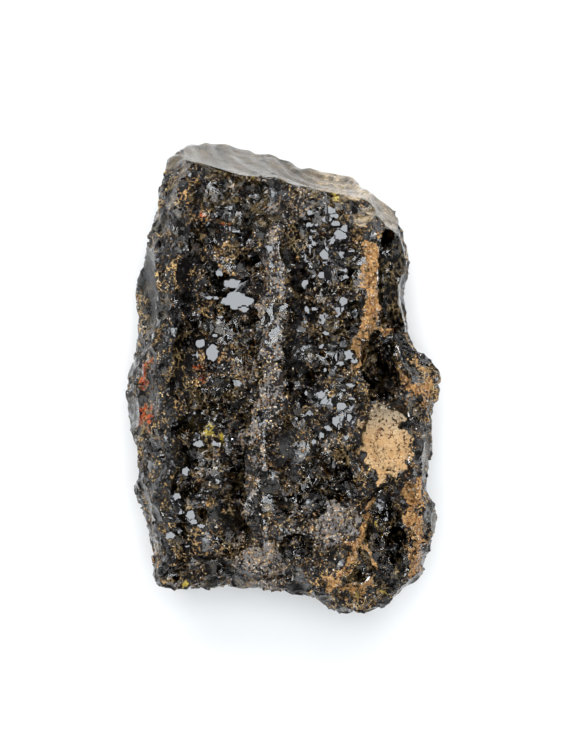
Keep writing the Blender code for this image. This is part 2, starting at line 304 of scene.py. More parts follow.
def facets(points, size, seed, tilt=1.2, step=0.5):
    """Height of a chipped surface: each cell, this wide, is a flat with its own tilt and its own step."""
    spot = points / size
    corner = np.floor(spot).astype(np.int64)
    nearest = np.full(len(points), np.inf)
    height = np.zeros(len(points))
    for offset in itertools.product((-1, 0, 1), repeat=3):
        cell = corner + np.array(offset)
        centre = cell + np.stack([lattice(cell, seed + axis) for axis in range(3)], axis=1)
        away = spot - centre
        gap = (away**2).sum(axis=1)
        closer = gap < nearest
        slope = np.stack([lattice(cell[closer], seed + 3 + axis) - 0.5 for axis in range(3)], axis=1)
        height[closer] = (slope * away[closer]).sum(axis=1) * 2.0 * tilt
        height[closer] += (lattice(cell[closer], seed + 7) - 0.5) * step
        nearest[closer] = gap[closer]
    return height * size


def near_route(points, route, half_width):
    """How close each point is to a route on the bark side, from 1 on it to 0 past its width."""
    flat = points[:, :2]
    nearest = np.full(len(points), np.inf)
    route = np.array(route)
    for start, end in zip(route, route[1:]):
        run = end - start
        share = np.clip((flat - start) @ run / (run @ run), 0.0, 1.0)
        gap = np.linalg.norm(flat - start - share[:, None] * run, axis=1)
        nearest = np.minimum(nearest, gap)
    return smoothstep(1.6 - nearest / half_width)


def near_spot(points, middle, half_sizes, turn=0.0):
    """How close each point is to a spot on the bark side: 1 in the middle, 0 at its edge, less outside."""
    cosine, sine = math.cos(math.radians(turn)), math.sin(math.radians(turn))
    across = points[:, :2] - middle
    across = across @ np.array([[cosine, -sine], [sine, cosine]])
    return 1.0 - np.linalg.norm(across / half_sizes, axis=1)


def read_points(mesh):
    points = np.empty(len(mesh.vertices) * 3)
    mesh.vertices.foreach_get("co", points)
    return points.reshape(-1, 3)


def read_normals(mesh):
    normals = np.empty(len(mesh.vertices) * 3)
    mesh.vertex_normals.foreach_get("vector", normals)
    return normals.reshape(-1, 3)


def write_points(mesh, points):
    mesh.vertices.foreach_set("co", points.ravel())
    mesh.update()


def with_modifier(mesh, kind, group=None, **settings):
    """The mesh as one modifier leaves it. A group is a share for each vertex that the modifier heeds."""
    thing = bpy.data.objects.new("work", mesh)
    bpy.context.scene.collection.objects.link(thing)
    modifier = thing.modifiers.new(kind.title(), kind)
    for name, value in settings.items():
        setattr(modifier, name, value)
    if group is not None:
        heeded = thing.vertex_groups.new(name="heeded")
        levels = np.round(group * 10).astype(int)
        for level in range(1, 11):
            heeded.add(np.flatnonzero(levels == level).tolist(), level / 10, "REPLACE")
        modifier.vertex_group = heeded.name
    graph = bpy.context.evaluated_depsgraph_get()
    made = bpy.data.meshes.new_from_object(thing.evaluated_get(graph))
    bpy.data.objects.remove(thing)
    return made


def body_start():
    """A copy of the solid in millimetres, on a fine even grid, with its flat triangles smoothed away."""
    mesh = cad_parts["rough_amber"].data.copy()
    work = bmesh.new()
    work.from_mesh(mesh)
    bmesh.ops.remove_doubles(work, verts=work.verts, dist=1e-6)
    bmesh.ops.scale(work, vec=(1 / MM, 1 / MM, 1 / MM), verts=work.verts)
    work.to_mesh(mesh)
    work.free()
    mesh.materials.clear()
    mesh = with_modifier(mesh, "REMESH", mode="VOXEL", voxel_size=BODY_VOXEL)
    return with_modifier(mesh, "SMOOTH", factor=0.6, iterations=12)


def bites():
    """Every broken face and pocket as (name, middle, half sizes, turn, unevenness)."""
    for name, (deepest, facing, radius, stretch) in BROKEN_FACES.items():
        facing = np.array(facing) / np.linalg.norm(facing)
        half_sizes = (radius, radius * stretch, radius)
        yield name, np.array(deepest) + facing * radius, half_sizes, 0.0, FACE_UNEVENNESS
    for name, (middle, half_sizes, turn) in POCKETS.items():
        yield name, np.array(middle), np.array(half_sizes), turn, POCKET_UNEVENNESS


def bite(points, normals, middle, half_sizes, turn, unevenness, most=30.0, facing_least=-0.3, among=None):
    """The points that face into an uneven ball, and their places on it, for those not too far from it."""
    reach = max(half_sizes) + unevenness
    among = np.arange(len(points)) if among is None else among
    near = among[np.abs(points[among] - middle).max(axis=1) < reach]
    cosine, sine = math.cos(math.radians(turn)), math.sin(math.radians(turn))
    spin = np.array([[cosine, -sine, 0.0], [sine, cosine, 0.0], [0.0, 0.0, 1.0]])
    seen = (points[near] - middle) @ spin / half_sizes
    away = np.linalg.norm(seen, axis=1)
    edge = 1.0 + unevenness / min(half_sizes) * lumps(points[near], 0.35 + unevenness, 5)
    facing = ((middle - points[near]) * normals[near]).sum(axis=1) > facing_least * reach
    inside = np.flatnonzero((away < edge) & facing)
    pushed = (seen[inside] / away[inside, None] * edge[inside, None] * half_sizes) @ spin.T + middle
    close = np.linalg.norm(pushed - points[near[inside]], axis=1) < most
    return near[inside[close]], pushed[close]


def chipped_share(points):
    """Where the bark side is broken resin and not dusty bark: 1 in the troughs, 0 on the ridges."""
    share = np.full(len(points), BROKEN_ANYWAY)
    for amount, route, half_width in BROKEN_ROUTES:
        share += amount * near_route(points, route, half_width)
    share -= 1.5 * smoothstep(2.0 * near_spot(points, CREAM_MIDDLE, CREAM_SIZES, CREAM_TURN))
    return np.clip(share, 0.0, 1.0)


def upper_share(points, normals):
    """1 on the bark side, 0 on the flanks and below."""
    return smoothstep((normals[:, 2] - 0.2) / 0.5) * smoothstep((points[:, 2] - BARK_SIDE_STARTS) / 5.0)


def on_far_end(points, normals):
    return (points[:, 1] > FAR_END_STARTS) & (normals[:, 1] > FAR_END_FACING)


def break_faces(points, normals, fresh):
    """Bites the broken faces and the pockets out of the lump."""
    for name, middle, half_sizes, turn, unevenness in bites():
        bitten, pushed = bite(points, normals, middle, half_sizes, turn, unevenness)
        points[bitten] = pushed
        fresh[bitten] = POCKET_FRESHNESS if name in POCKETS else 1.0
    fresh[on_far_end(points, normals)] = 1.0


def cut_terrace(points, fresh):
    """Brings part of the right-hand side to the level of one slanting, chipped step."""
    right_of_edge = points[:, 0] - TERRACE_LEFT
    step = smoothstep(right_of_edge / 0.5) * smoothstep((points[:, 2] - TERRACE_FOOT) / 3.0)
    step *= smoothstep((points[:, 1] - TERRACE_NEAR) / 1.5) * smoothstep((TERRACE_FAR - points[:, 1]) / 2.0)
    level = TERRACE_HEIGHT - TERRACE_SLOPE * right_of_edge + TERRACE_CHIPPING * facets(points, 3.6, 25)
    points[:, 2] += step * (level - points[:, 2])
    fresh[step > 0.5] = TERRACE_FRESHNESS


def ripple_far_end(points, normals, fresh):
    """Spreads ripples over the far end from the blow that broke it."""
    from_blow = np.linalg.norm(points - BLOW_AT, axis=1) + RIPPLE_WANDER * lumps(points, 4.0, 26)
    ripple = RIPPLE_RISE * np.sin(2.0 * math.pi * from_blow / RIPPLE_EVERY)
    points += normals * (ripple * on_far_end(points, normals) * fresh)[:, None]


def raise_ledges(points, strayed, bark, broken, fresh):
    """Ledges across the broken bands: each rises slowly and ends in a drop."""
    run = strayed[:, 1] + LEDGE_SLANT * strayed[:, 0] + LEDGE_WANDER * lumps(points, 3.0, 24)
    ledge = run / LEDGE_EVERY
    points[:, 2] += LEDGE_RISE * bark * broken * (1.0 - fresh) * (ledge - np.floor(ledge))


def break_hollows(points, normals, fresh):
    """Dips a ball into the bark side for each hollow."""
    lift = HOLLOW_BALL_LIFT * HOLLOW_DEPTH
    for middle, (across, along), turn in HOLLOWS:
        top = points[np.linalg.norm(points[:, :2] - middle, axis=1) < 1.2, 2].max()
        sizes = np.array((across * HOLLOW_BALL_WIDTH, along * HOLLOW_BALL_WIDTH, lift + HOLLOW_DEPTH))
        ball = np.array((*middle, top + lift))
        bitten, pushed = bite(points, normals, ball, sizes, turn, HOLLOW_UNEVENNESS)
        points[bitten] = pushed
        fresh[bitten] = HOLLOW_FRESHNESS


def roughen(points, normals, strays, bark, broken, fresh, mirror):
    """Chipped flats, lumps and fibres all over the crust, but not on the mirror-flat chips."""
    crusted = 1.0 - fresh
    rough = crusted * (bark * (RIDGE_ROUGHNESS + BREAK_ROUGHNESS * broken) + (1.0 - bark) * FLANK_ROUGHNESS)
    height = np.zeros(len(points))
    for rise, width, straying, seed in RELIEF_FLATS:
        height += rise * facets(points + straying * strays, width, seed)
    rise, width = CRUST_LUMPS
    height += rise * lumps(points, width, 61) * crusted
    rise, width = BARK_FIBRES
    height += rise * lumps(points * (1.0, FIBRE_PACE, 1.0), width, 62) * bark * (1.0 - broken)
    points += normals * np.where(mirror, 0.0, height * rough)[:, None]


def chip_all_over(points, normals, weight, mirror, fresh):
    """Small shell-like chips, the widest first, each cut to a depth under the skin before any of them."""
    skin = points.copy()
    chance = np.random.default_rng(CHIP_SEED)
    widths = np.exp(chance.uniform(*np.log(SHELL_CHIP_WIDTHS), SHELL_CHIPS))
    places = chance.choice(len(points), SHELL_CHIPS, p=weight / weight.sum())
    order = np.argsort(skin[:, 1])
    along = skin[order, 1]
    for width, index in zip(np.sort(widths)[::-1], places):
        share = chance.uniform(*SHELL_CHIP_DEPTHS)
        radius = width * (1.0 + share**2) / (2.0 * share)
        facing = normals[index] + chance.normal(0.0, SHELL_CHIP_TILT * share, 3)
        facing /= np.linalg.norm(facing)
        middle = skin[index] + facing * (radius - share * width)
        reach = 1.6 * width
        first, last = np.searchsorted(along, (skin[index, 1] - reach, skin[index, 1] + reach))
        chipped, pushed = bite(
            points,
            normals,
            middle,
            (radius, radius, radius),
            turn=0.0,
            unevenness=SHELL_CHIP_UNEVENNESS,
            most=0.4 + 1.5 * share * width,
            facing_least=SHELL_CHIP_FACING,
            among=order[first:last],
        )
        free = ~mirror[chipped]
        points[chipped[free]] = pushed[free]
        fresh[chipped[free]] = chance.uniform(0.0, 1.0)


def shaped_body():
    """The lump in millimetres, how much each point belongs to the bark side, and how fresh its break is.

    That is 0 where it is crusted, 1 where it is clean resin, and 2 on the mirror-flat chips.
    """
    mesh = body_start()
    points = read_points(mesh)
    normals = read_normals(mesh)
    bark = upper_share(points, normals)
    strays = wander(points, 5.0, 21)
    strayed = points + strays
    for route, half_width, rise in LONG_FORMS:
        points[:, 2] += bark * rise * near_route(strayed, route, half_width)
    fresh = np.zeros(len(points))
    break_faces(points, normals, fresh)
    cut_terrace(points, fresh)
    ripple_far_end(points, normals, fresh)
    broken = chipped_share(strayed)
    raise_ledges(points, strayed, bark, broken, fresh)
    break_hollows(points, normals, fresh)
    kept = fresh.copy()
    mirror = np.zeros(len(points), dtype=bool)
    for middle, half_sizes, turn, slope in flat_chips():
        mirror[flatten(points, middle, half_sizes, turn, slope)] = True
    roughen(points, normals, strays, bark, broken, fresh, mirror)
    weight = (bark * (0.25 + broken**2) + 0.10 * (1.0 - bark)) * (1.0 - kept)
    chip_all_over(points, normals, weight, mirror, fresh)
    fresh = np.maximum(fresh, kept)
    fresh[mirror] = 2.0
    low, high = np.array(solid_box) / MM
    write_points(mesh, np.clip(points, low, high))
    spiky = smoothstep((bulge(mesh) - SPIKE_STARTS) / SPIKE_STARTS)
    return with_modifier(mesh, "SMOOTH", group=spiky, factor=0.6, iterations=5), bark, fresh


def flat_chips():
    """The listed mirror-flat chips, and small ones scattered where the resin is bare."""
    yield from FLAT_CHIPS
    chance = np.random.default_rng(CHIP_SEED)
    for left, right, near, far, count in FLAT_CHIP_FIELDS:
        for _ in range(count):
            middle = (chance.uniform(left, right), chance.uniform(near, far))
            half_sizes = chance.uniform(*SMALL_FLAT_SIZES, 2)
            turn = chance.uniform(*SMALL_FLAT_TURNS)
            yield middle, half_sizes, turn, chance.uniform(*SMALL_FLAT_SLOPES, 2)


def along_side(points, middle, half_sizes, side):
    """How far out each point lies toward one side of a flake, as a share of the flake's half size."""
    return (points[:, :2] - middle) / half_sizes @ (math.cos(side), math.sin(side))


def flatten(points, middle, half_sizes, turn, slope):
    """Cuts one mirror-flat chip, an angular flake of it, into the bark side."""
    near = np.abs(points[:, :2] - middle).max(axis=1) < 1.5 * max(half_sizes)
    near = np.flatnonzero(near & (points[:, 2] > BARK_SIDE_STARTS + 5.0))
    sides = np.radians(np.array(FLAKE_SIDES) + 3.0 * turn)
    reach = np.max([along_side(points[near], middle, half_sizes, side) for side in sides], axis=0)
    reach += FLAKE_RAGGEDNESS * lumps(points[near] * (1.0, 1.0, 0.0) + 40.0, 0.6, 71)
    inside = near[reach < FLAKE_EDGE]
    if not len(inside):
        return inside
    across = points[inside, :2] - middle
    level = np.percentile(points[inside, 2], 35) - FLAT_CHIP_DEPTH
    points[inside, 2] = level + across @ slope
    return inside


def bulge(mesh):
    """How sharply the surface bends outward at each vertex, in turns of the normal to a millimetre."""
    points, normals = read_points(mesh), read_normals(mesh)
    ends = np.empty(len(mesh.edges) * 2, dtype=np.int64)
    mesh.edges.foreach_get("vertices", ends)
    first, second = ends.reshape(-1, 2).T
    run = points[first] - points[second]
    bend = ((normals[first] - normals[second]) * run).sum(axis=1) / ((run**2).sum(axis=1) + 1e-4)
    count = np.bincount(first, minlength=len(points)) + np.bincount(second, minlength=len(points))
    for _ in range(2):
        mean = (np.bincount(first, bend, len(points)) + np.bincount(second, bend, len(points))) / count
        bend = (mean[first] + mean[second]) / 2.0
    return mean


def thinned(mesh, bark, shares):
    """The mesh with fewer triangles, most of them kept on the bark side, and its shares carried over."""
    nearest = kdtree.KDTree(len(mesh.vertices))
    for index, point in enumerate(read_points(mesh)):
        nearest.insert(point, index)
    nearest.balance()
    mesh.calc_loop_triangles()
    mesh = with_modifier(
        mesh,
        "DECIMATE",
        group=1.0 - BARK_SPARED * bark,
        ratio=BODY_TRIANGLES / len(mesh.loop_triangles),
        use_collapse_triangulate=True,
        vertex_group_factor=SPARING_FACTOR,
    )
    from_before = np.array([nearest.find(point)[1] for point in read_points(mesh)])
    return mesh, {name: share[from_before] for name, share in shares.items()}


# What covers the bark side along each route, as (how much, the route, half its width), and round each spot,
# as (how much, how sharply it ends, its middle, its half sizes): ochre sand, grey dust and painted shade,
# which is black laid in the dark groove, the slanting crack, the ridge foot and the hollows near the far
# left end, and which also darkens the left ridge
SAND_ROUTES = [
    (1.05, SAND_STRIP, 1.1),
    (0.8, TAN_ARCH, 0.8),
    (0.35, TAN_STRIP, 2.2),
    (0.9, RIB_SAND, 1.3),
    (1.2, OCHRE_VEIN, 0.5),
    (1.2, OCHRE_HOOK, 0.45),
    (0.30, LEFT_TROUGH, 3.4),
]
SAND_SPOTS = [
    (0.9, 1.6, (22.0, -1.6), (4.0, 6.4)),
    (0.7, 1.6, (12.0, -35.0), (4.4, 3.4)),
    (0.30, 1.4, (-16.0, 28.0), (5.0, 6.0)),
]
DUST_ROUTES = [(0.25, RIGHT_CHIPS, 3.6)]
DUST_SPOTS = [
    (0.9, 1.8, (8.6, -24.4), (6.0, 6.6)),
    (0.4, 1.6, (-4.4, -27.0), (5.6, 7.0)),
]
# Painted shade: black laid along the dark groove, the slanting crack and the ridge foot, and over hollows
# near the far left end; along the left ridge it darkens that ridge
PAINTED_SHADE_ROUTES = [
    (1.0, DARK_GROOVE, 1.2),
    (0.9, SLANTING_CRACK, 0.8),
    (0.6, RIDGE_FOOT, 1.1),
    (0.6, LEFT_RIDGE, 3.0),
]
PAINTED_SHADE_SPOTS = [
    (0.8, 1.6, (-6.4, 26.8), (5.6, 5.0)),
    (0.6, 1.6, (-13.0, 27.0), (8.0, 8.0)),
]


def laid(points, routes, spots):
    """How much of a cover lies at each point."""
    share = np.zeros(len(points))
    for amount, route, half_width in routes:
        share += amount * near_route(points, route, half_width)
    for amount, sharpness, middle, half_sizes in spots:
        share += amount * smoothstep(sharpness * near_spot(points, middle, half_sizes))
    return share


def stone_masks(points, normals, fresh, edges):
    """What covers each point of the lump, and where shade, glow and sheen are painted on it, as shares from
    0 to 1.
    """
    strayed = points + 1.1 * wander(points, 2.2, 81) + 0.5 * wander(points, 0.8, 84)
    bark = smoothstep((normals[:, 2] + 0.1) / 0.4) * smoothstep((points[:, 2] - BARK_SIDE_STARTS) / 4.0)
    sand = laid(strayed, SAND_ROUTES, SAND_SPOTS)
    dust = near_route(strayed, CENTRE_RIDGE, 6.0) * (0.62 + 0.35 * lumps(points, 1.6, 87))
    dust += laid(strayed, DUST_ROUTES, DUST_SPOTS)
    # Where shade is painted black: the grooves, cracks, ridge foot and hollows, and darker along the left
    # ridge
    painted_shade = laid(strayed, PAINTED_SHADE_ROUTES, PAINTED_SHADE_SPOTS)
    ragged = 0.50 * lumps(points, 1.8, 88) + 0.35 * lumps(points, 0.7, 89)
    cream = smoothstep(1.8 * near_spot(strayed, CREAM_MIDDLE, CREAM_SIZES, CREAM_TURN) + 0.2 + ragged)
    covered = bark * (1.0 - np.minimum(fresh, 1.0))
    clumps = smoothstep((lumps(points, 2.4, 90) + 0.5 * lumps(points, 1.1, 93) - 0.25) / 0.4)
    edge = smoothstep((edges - 0.9) / 2.2)
    masks = {
        "fresh": np.minimum(fresh, 1.0),
        "mirror": fresh - 1.0,
        "edge": edge,
        "sand": sand * bark * (1.0 - 0.3 * np.minimum(fresh, 1.0)),
        "cream": cream * bark,
        "dust": dust * covered,
        "ember": spots(points, EMBERS),
        "lime": spots(points, LIME_FLECKS),
        "painted_shade": painted_shade * bark,
        # Far end face: a pale haze that is partly dust and partly a painted reflection of the bright table
        # behind, stronger to the right
        "haze_and_sheen": (points[:, 1] > FAR_END_STARTS) * smoothstep((normals[:, 1] - 0.4) / 0.3)
        * (0.12 + 0.55 * smoothstep((strayed[:, 0] - 4.0) / 6.0)),
        "grains": covered * (0.45 * dust + 0.6 * sand + 0.35 * clumps + 0.35 * edge) * (1.0 - cream),
    }
    return {name: np.clip(share, 0.0, 1.0) for name, share in masks.items()}


def spots(points, places):
    """Ragged spots on the upper surface, each given by its middle, seen from above, and its radius."""
    share = np.zeros(len(points))
    ragged = 0.5 * lumps(points, 1.1, 91) + 0.4 * lumps(points, 0.5, 92)
    for across, along, radius in places:
        flat_gap = np.linalg.norm(points[:, :2] - (across, along), axis=1)
        height = points[flat_gap < 1.0, 2].max()
        gap = np.hypot(flat_gap, points[:, 2] - height) / radius
        share = np.maximum(share, smoothstep(3.0 * (0.75 - gap + ragged)))
    return share


# Thin places that light shines through, their glow partly painted into the base colour and partly seen
# through: red-brown ones, and yellow-green flecks
EMBERS = [
    (-23.5, 1.0, 3.2),
    (-23.6, -1.2, 2.6),
    (-23.2, -6.9, 3.2),
    (-22.4, -2.6, 1.3),
    (-13.4, 0.9, 1.5),
    (-12.6, -0.6, 1.3),
    (-9.6, 24.4, 1.3),
    (-13.0, 25.8, 1.2),
]
LIME_FLECKS = [
    (-13.4, 34.2, 0.8),
    (-10.6, 33.5, 0.7),
    (-5.0, 32.2, 0.7),
    (-12.2, -9.6, 1.5),
    (-10.8, -11.2, 1.3),
    (16.6, -24.2, 1.6),
    (-15.6, -35.0, 1.4),
    (13.0, -37.6, 1.7),
    (16.8, -37.0, 1.6),
    (12.0, -33.4, 1.0),
    (8.8, 29.4, 1.6),
    (-19.4, 30.6, 0.9),
    (6.6, -13.4, 0.7),
    (14.0, -6.8, 0.8),
]


def add(tree, kind, inputs=(), **settings):
    """A new node. An input given as a socket is linked, and any other is set."""
    node = tree.nodes.new(kind)
    for name, value in settings.items():
        setattr(node, name, value)
    for name, value in dict(inputs).items():
        if isinstance(value, bpy.types.NodeSocket):
            tree.links.new(value, node.inputs[name])
        else:
            node.inputs[name].default_value = value
    return node


def sum_of(tree, *terms):
    """Adds sockets and numbers."""
    total = terms[0]
    for term in terms[1:]:
        total = add(tree, "ShaderNodeMath", {0: total, 1: term}, operation="ADD").outputs[0]
    return total


def times(tree, first, second):
    return add(tree, "ShaderNodeMath", {0: first, 1: second}, operation="MULTIPLY").outputs[0]


def ramp(tree, value, start, end):
    """Rises smoothly from 0 where the value is at start to 1 where it is at end."""
    node = add(tree, "ShaderNodeMapRange", {"Value": value, "From Min": start, "From Max": end})
    node.interpolation_type = "SMOOTHSTEP"
    return node.outputs["Result"]


def paint(tree, share, under, over):
    """One colour over another, as a colour socket."""
    node = add(tree, "ShaderNodeMix", data_type="RGBA")
    for index, value in ((0, share), (6, under), (7, over)):
        if isinstance(value, bpy.types.NodeSocket):
            tree.links.new(value, node.inputs[index])
        else:
            node.inputs[index].default_value = value
    return node.outputs[2]


def mixed(tree, share, low, high):
    """One number over another, as a number socket."""
    node = add(tree, "ShaderNodeMix", {0: share, 2: low, 3: high}, data_type="FLOAT")
    return node.outputs[0]


def in_millimetres(tree, stretch=(1.0, 1.0, 1.0)):
    """The place on the piece in millimetres, stretched along the bark's grain if wanted."""
    place = add(tree, "ShaderNodeTexCoord").outputs["Object"]
    scale = tuple(1 / MM / factor for factor in stretch)
    return add(tree, "ShaderNodeMapping", {"Vector": place, "Scale": scale}).outputs["Vector"]


def noise(tree, place, size, detail=3.0, roughness=0.6):
    """Cloudy noise from about 0.3 to 0.7 whose clouds are this many millimetres wide."""
    inputs = {"Vector": place, "Scale": 1.0 / size, "Detail": detail, "Roughness": roughness}
    return add(tree, "ShaderNodeTexNoise", inputs).outputs["Fac"]


def bent(tree, place, size, reach):
    """The place, moved by noise this wide and about this far, in millimetres."""
    bend = add(tree, "ShaderNodeTexNoise", {"Vector": place, "Scale": 1.0 / size, "Detail": 2.0})
    inputs = {0: bend.outputs["Color"], "Scale": 3.0 * reach}
    bend = add(tree, "ShaderNodeVectorMath", inputs, operation="SCALE")
    inputs = {0: place, 1: bend.outputs["Vector"]}
    return add(tree, "ShaderNodeVectorMath", inputs, operation="ADD").outputs["Vector"]


def crumbs(tree, place, size):
    """Crumbs this many millimetres wide: two random numbers for each, and the way to its middle."""
    node = add(tree, "ShaderNodeTexVoronoi", {"Vector": place, "Scale": 1.0 / size})
    shade = add(tree, "ShaderNodeSeparateColor", {"Color": node.outputs["Color"]})
    return shade.outputs["Red"], shade.outputs["Green"], node.outputs["Distance"]


def threads(tree, place, size):
    """Distance to a net of lines whose meshes are this many millimetres wide, bent out of true."""
    inputs = {"Vector": bent(tree, place, size / 1.2, 0.43 * size), "Scale": 1.0 / size}
    return add(tree, "ShaderNodeTexVoronoi", inputs, feature="DISTANCE_TO_EDGE").outputs["Distance"]


def mask(tree, name):
    return add(tree, "ShaderNodeAttribute", attribute_name=name).outputs["Fac"]


def larger(tree, first, second):
    return add(tree, "ShaderNodeMath", {0: first, 1: second}, operation="MAXIMUM").outputs[0]


def all_but(tree, share):
    return add(tree, "ShaderNodeMath", {0: 1.0, 1: share}, operation="SUBTRACT").outputs[0]


# The black of bare resin, also used as the painted shade in the grooves, cracks and hollows
RESIN_BLACK_AND_SHADE = (0.006, 0.005, 0.005, 1.0)
BARK_BROWN = (0.028, 0.016, 0.009, 1.0)
GREY_DUST = (0.200, 0.186, 0.178, 1.0)
PALE_CRUMB = (0.66, 0.60, 0.52, 1.0)
TAN_CLAY = (0.48, 0.26, 0.095, 1.0)
# Pale haze on the far end: partly dust, partly a painted reflection
HAZE_DUST_AND_SHEEN = (0.42, 0.37, 0.31, 1.0)
RUST_CLAY = (0.16, 0.065, 0.02, 1.0)
CREAM_CLAY = (0.55, 0.35, 0.17, 1.0)
PALE_CLAY = (0.66, 0.50, 0.30, 1.0)
GREY_CLAY = (0.47, 0.39, 0.28, 1.0)
GOLD_CRUMB = (0.78, 0.56, 0.24, 1.0)
AMBER_GOLD = (0.95, 0.66, 0.30, 1.0)
# The red of the thin places, a painted glow in the base colour
EMBER_DARK = (0.13, 0.018, 0.004, 1.0)
EMBER_RED = (0.70, 0.10, 0.004, 1.0)
LIME_GOLD = (0.66, 0.50, 0.07, 1.0)
AMBER_IOR = 1.54
AMBER_ABSORBED = (0.82, 0.70, 0.20, 1.0)
AMBER_DENSITY = 11000.0
RESIN_GLOSS = 0.5
CRUST_GLOSS = 0.20


def stone_material():
    """Glossy dark resin, seen through where it is fresh, under a crust of bark dust, clay and crumbs, with
    painted shade in the grooves and hollows, a painted glow in the thin places and a painted sheen on the
    far end.
    """
    material = bpy.data.materials.new("amber and bark crust")
    material.use_nodes = True
    tree = material.node_tree
    shader = tree.nodes["Principled BSDF"]
    place = in_millimetres(tree)
    grit = noise(tree, place, 0.50, 2.0, 0.6)
    cloud = noise(tree, place, 1.8, 4.0, 0.65)
    drift = noise(tree, place, 4.5, 3.0, 0.6)
    fibres = noise(tree, in_millimetres(tree, (1.0, 5.0, 1.0)), 0.7, 3.0, 0.65)
    chance, tint, away = crumbs(tree, bent(tree, place, 0.45, 0.22), 0.30)
    web = threads(tree, place, 1.5)
    fine_web = threads(tree, place, 0.75)

    fresh, mirror, edge = mask(tree, "fresh"), mask(tree, "mirror"), mask(tree, "edge")
    painted_shade_share = mask(tree, "painted_shade")
    sand, cream, dust = mask(tree, "sand"), mask(tree, "cream"), mask(tree, "dust")
    ember, lime = mask(tree, "ember"), mask(tree, "lime")
    bare = sum_of(tree, times(tree, fresh, -0.42), times(tree, mirror, -2.0))

    film = sum_of(tree, cloud, times(tree, grit, 0.4), times(tree, dust, 0.22), times(tree, sand, 0.25))
    film = ramp(tree, sum_of(tree, film, times(tree, cream, 0.6), bare), 0.68, 0.74)
    greyness = sum_of(tree, grit, times(tree, fibres, 0.7), times(tree, dust, 0.25), times(tree, bare, 0.5))
    grey = ramp(tree, greyness, 0.99, 1.07)
    crumbiness = sum_of(tree, chance, times(tree, dust, 0.18), times(tree, edge, 0.12))
    crumbiness = sum_of(tree, crumbiness, times(tree, bare, 0.5))
    crumbiness = sum_of(tree, crumbiness, times(tree, drift, 0.8), times(tree, sand, 0.15))
    # Fewer crumbs where shade is painted
    crumbiness = sum_of(tree, crumbiness, times(tree, painted_shade_share, -0.12))
    crumb = times(tree, ramp(tree, crumbiness, 1.26, 1.30), ramp(tree, away, 0.52, 0.42))
    sandiness = sum_of(tree, times(tree, sand, 0.55), times(tree, grit, 0.9), times(tree, cloud, 0.8))
    sandiness = sum_of(tree, sandiness, times(tree, bare, 0.5))
    clay = ramp(tree, sandiness, 1.08, 1.20)
    thread = times(tree, ramp(tree, web, 0.055, 0.02), ramp(tree, drift, 0.53, 0.60))
    hair = times(tree, ramp(tree, fine_web, 0.06, 0.02), ramp(tree, cloud, 0.54, 0.62))
    thread = times(tree, larger(tree, thread, hair), all_but(tree, times(tree, dust, 0.85)))
    thread = times(tree, thread, all_but(tree, larger(tree, mirror, times(tree, fresh, 0.8))))
    creaminess = sum_of(tree, cream, times(tree, cloud, 0.9), times(tree, grit, 0.5))
    smooth = ramp(tree, creaminess, 1.10, 1.30)

    colour = paint(tree, ramp(tree, cloud, 0.46, 0.62), RESIN_BLACK_AND_SHADE, BARK_BROWN)
    colour = paint(tree, grey, colour, GREY_DUST)
    # Painted shade: black over the crust in the grooves, cracks and hollows
    colour = paint(tree, times(tree, painted_shade_share, 0.85), colour, RESIN_BLACK_AND_SHADE)
    ochre = paint(tree, ramp(tree, grit, 0.40, 0.60), RUST_CLAY, TAN_CLAY)
    colour = paint(tree, clay, colour, ochre)
    colour = paint(tree, thread, colour, paint(tree, tint, TAN_CLAY, GOLD_CRUMB))
    pale = paint(tree, ramp(tree, tint, 0.32, 0.42), PALE_CRUMB, TAN_CLAY)
    pale = paint(tree, ramp(tree, tint, 0.78, 0.86), pale, GOLD_CRUMB)
    colour = paint(tree, crumb, colour, pale)
    dish = paint(tree, ramp(tree, cloud, 0.36, 0.64), TAN_CLAY, PALE_CLAY)
    dish = paint(tree, ramp(tree, grit, 0.36, 0.60), dish, CREAM_CLAY)
    far_share = add(tree, "ShaderNodeSeparateXYZ", {"Vector": place}).outputs["Y"]
    dish = paint(tree, ramp(tree, far_share, *CREAM_GREYS), dish, GREY_CLAY)
    crack = times(tree, ramp(tree, web, 0.05, 0.015), ramp(tree, cloud, 0.47, 0.55))
    dish = paint(tree, crack, dish, RUST_CLAY)
    speck = ramp(tree, sum_of(tree, grit, times(tree, fibres, 0.4)), 0.78, 0.86)
    dish = paint(tree, speck, dish, BARK_BROWN)
    colour = paint(tree, smooth, colour, dish)

    # Painted glow: the thin places' red-brown and yellow-green is painted into the base colour, and only
    # part of it is seen through
    red = paint(tree, ramp(tree, cloud, 0.42, 0.58), EMBER_DARK, EMBER_RED)
    resin = paint(tree, ember, AMBER_GOLD, red)
    resin = paint(tree, lime, resin, LIME_GOLD)
    glow = times(tree, larger(tree, ember, lime), ramp(tree, grit, 0.38, 0.50))
    cover = larger(tree, larger(tree, film, clay), larger(tree, crumb, larger(tree, thread, smooth)))
    cover = times(tree, cover, all_but(tree, glow))
    colour = paint(tree, cover, RESIN_BLACK_AND_SHADE, colour)
    thin = larger(tree, times(tree, fresh, all_but(tree, mirror)), glow)
    thin = add(tree, "ShaderNodeMath", {0: thin, 1: 0.5}, operation="GREATER_THAN").outputs[0]
    window = times(tree, all_but(tree, cover), thin)
    colour = paint(tree, window, colour, resin)
    clear = times(tree, window, mixed(tree, glow, 1.0, 0.40))
    # Far end face: pale haze, partly dust and partly a painted reflection, which is also less seen through
    # there
    streaks = ramp(tree, sum_of(tree, cloud, times(tree, grit, 0.5)), 0.55, 0.95)
    dust_and_sheen = times(tree, mask(tree, "haze_and_sheen"), streaks)
    colour = paint(tree, dust_and_sheen, colour, HAZE_DUST_AND_SHEEN)
    clear = times(tree, clear, all_but(tree, dust_and_sheen))

